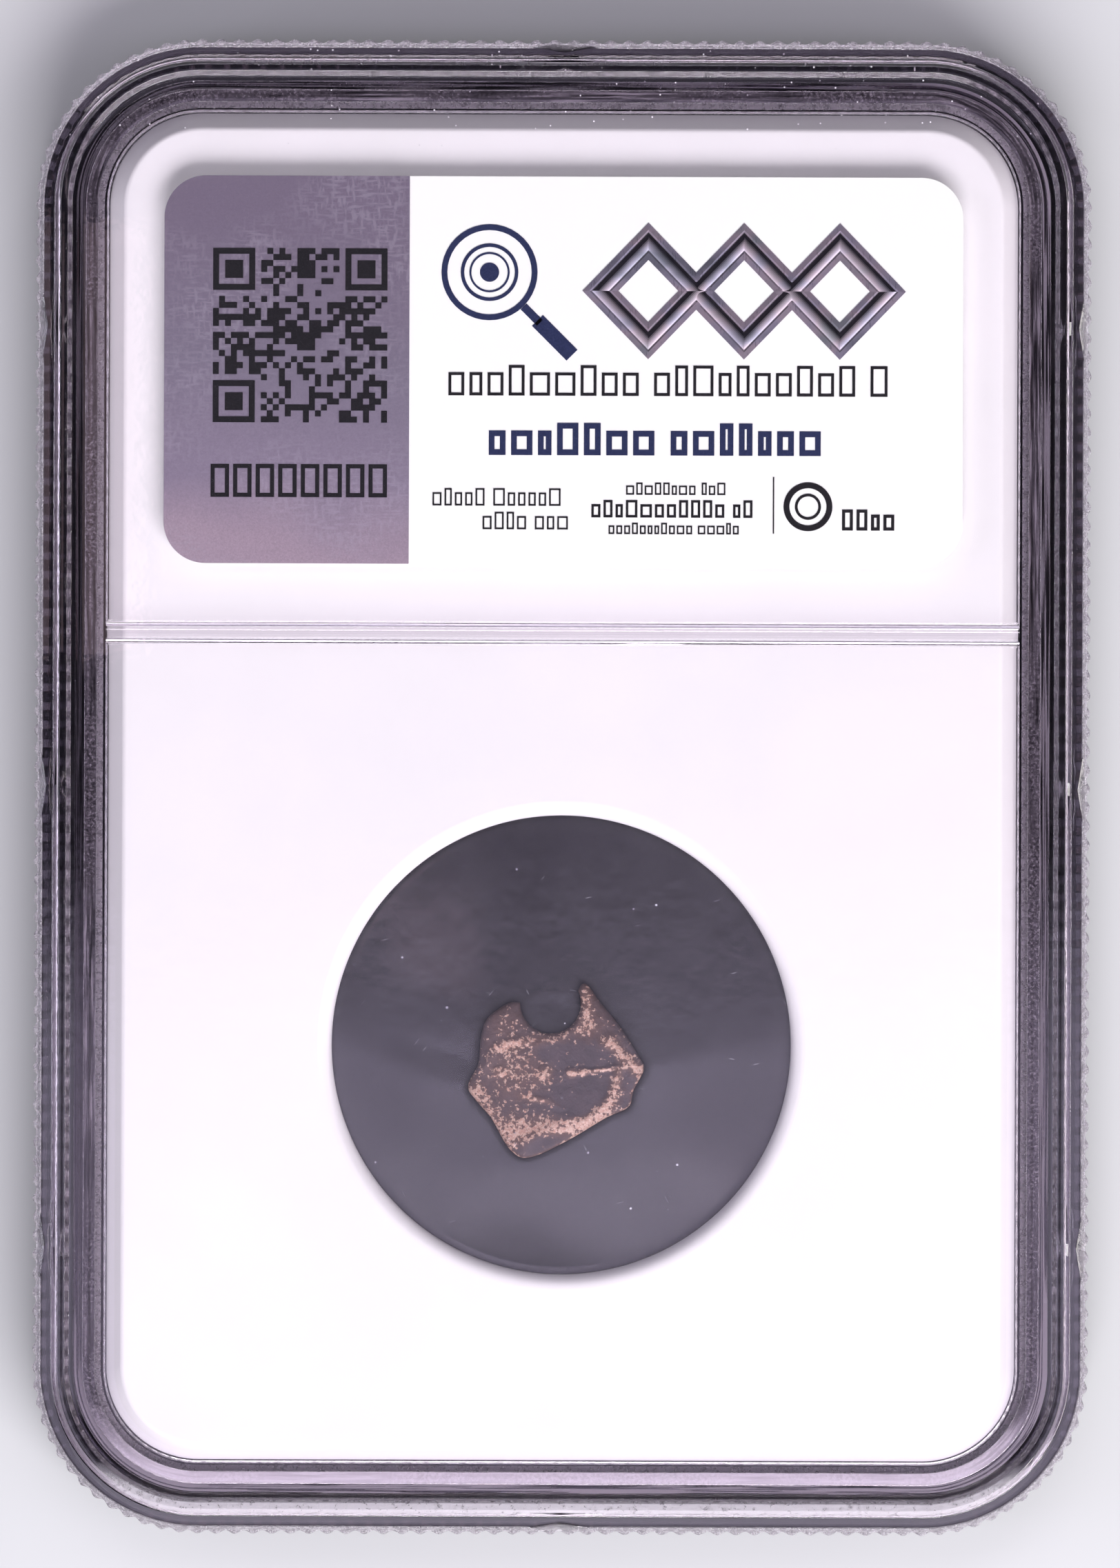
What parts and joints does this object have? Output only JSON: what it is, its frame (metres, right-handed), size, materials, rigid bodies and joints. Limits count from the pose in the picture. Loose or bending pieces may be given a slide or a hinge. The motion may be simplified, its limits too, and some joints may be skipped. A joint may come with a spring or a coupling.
{
  "type": "graded coin slab",
  "caption": "Sealed flat clear plastic coin holder with serrated rim, white insert, printed label cards and a small irregular bronze coin held between films in a round window.",
  "frame": {"origin": "centre of the bounding box's footprint, on the plane of the front side's stacking ridge", "axes": "+X across the slab's width, +Y along its length towards the label, +Z out of the rear window (rear side up)"},
  "size_m": [0.0604, 0.0856, 0.008],
  "materials": {
    "clear_shell": "clear moulded polystyrene, polished windows, fine tumbled scuffs on the rim",
    "weld_bead": "hazy re-solidified polystyrene with fine bubbles",
    "white_insert": "smooth satin white moulding",
    "smoke_film": "thin clear film with hairline scratches and dust, slightly smoky",
    "coin_bronze": "dark brown patina, coppery wear on the high points, granular pitting",
    "label_card": "coated card, semi-gloss",
    "security_foil": "grey-violet security foil with a faint woven pattern and a soft rainbow sheen",
    "emblem_foil": "dark bevelled mirror foil"
  },
  "bodies": {
    "root": {"front_shell": "clear_shell", "rear_shell": "clear_shell", "weld_seam": "weld_bead", "front_insert": "white_insert", "rear_insert": "white_insert", "front_film": "smoke_film", "rear_film": "smoke_film", "coin": "coin_bronze", "front_label": "label_card", "front_label_foil_emblem": "emblem_foil", "rear_label": "label_card", "rear_label_foil_strip": "security_foil", "rear_label_foil_emblem": "emblem_foil"}
  },
  "joints": []
}
